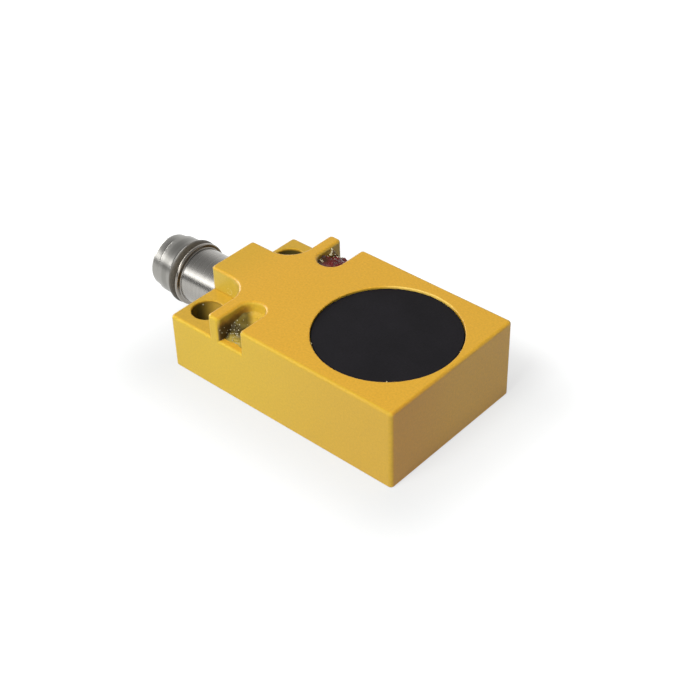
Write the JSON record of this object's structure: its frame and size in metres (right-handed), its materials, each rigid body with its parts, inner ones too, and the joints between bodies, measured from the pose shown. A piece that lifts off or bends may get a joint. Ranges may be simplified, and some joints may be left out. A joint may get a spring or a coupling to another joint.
{
  "type": "inductive proximity sensor",
  "caption": "Flat inductive proximity sensor in a yellow die-cast housing, with a round black sensing face, recessed screw lugs, lamp windows and a steel plug barrel.",
  "frame": {"origin": "Midway between the two screw holes of the lugs, on the flat underside that lies on the machine.", "axes": "+X along the body towards the sensing end (the plug barrel points to -X), +Y across the body towards the slot with the red lamp, +Z out of the sensing face."},
  "size_m": [0.0429, 0.02, 0.01],
  "materials": {
    "yellow_paint": "satin yellow paint on die-cast zinc, faintly speckled",
    "face_plastic": "matte black moulded plastic",
    "ferrite": "dark grey sintered ferrite",
    "bobbin_plastic": "natural moulded plastic",
    "enamelled_copper": "enamelled copper wire",
    "board_laminate": "green lacquered glass-fibre laminate",
    "package_plastic": "moulded black chip package with tinned legs",
    "capacitor_ceramic": "tan ceramic with tinned end caps",
    "resistor_ceramic": "black glazed ceramic with tinned end caps",
    "yellow_lamp_plastic": "pale milky lamp body",
    "red_lamp_plastic": "red lamp body",
    "clear_resin": "glossy cast resin, nearly clear",
    "red_resin": "glossy cast resin, tinted red",
    "turned_steel": "turned stainless steel with fine rings",
    "seal_rubber": "dark brown rubber",
    "carrier_plastic": "black moulded insulator",
    "gilt_brass": "gold-plated contacts",
    "tinned_wire": "tinned copper wire",
    "solder": "smooth solder",
    "potting_resin": "dark cast resin"
  },
  "bodies": {
    "root": {"housing": "yellow_paint", "active_face_cap": "face_plastic", "ferrite_core": "ferrite", "coil_bobbin": "bobbin_plastic", "coil_winding": "enamelled_copper", "coil_leads": "enamelled_copper", "circuit_board": "board_laminate", "sensor_chip": "package_plastic", "output_transistor": "package_plastic", "voltage_regulator": "package_plastic", "suppressor_diodes": "package_plastic", "chip_capacitors": "capacitor_ceramic", "chip_resistors": "resistor_ceramic", "yellow_lamp": "yellow_lamp_plastic", "red_lamp": "red_lamp_plastic", "clear_light_window": "clear_resin", "red_light_window": "red_resin", "connector_shell": "turned_steel", "barrel_seal_ring": "seal_rubber", "contact_carrier": "carrier_plastic", "contact_pins": "gilt_brass", "link_wire": "tinned_wire", "solder_joints": "solder", "potting_compound": "potting_resin"}
  },
  "joints": []
}
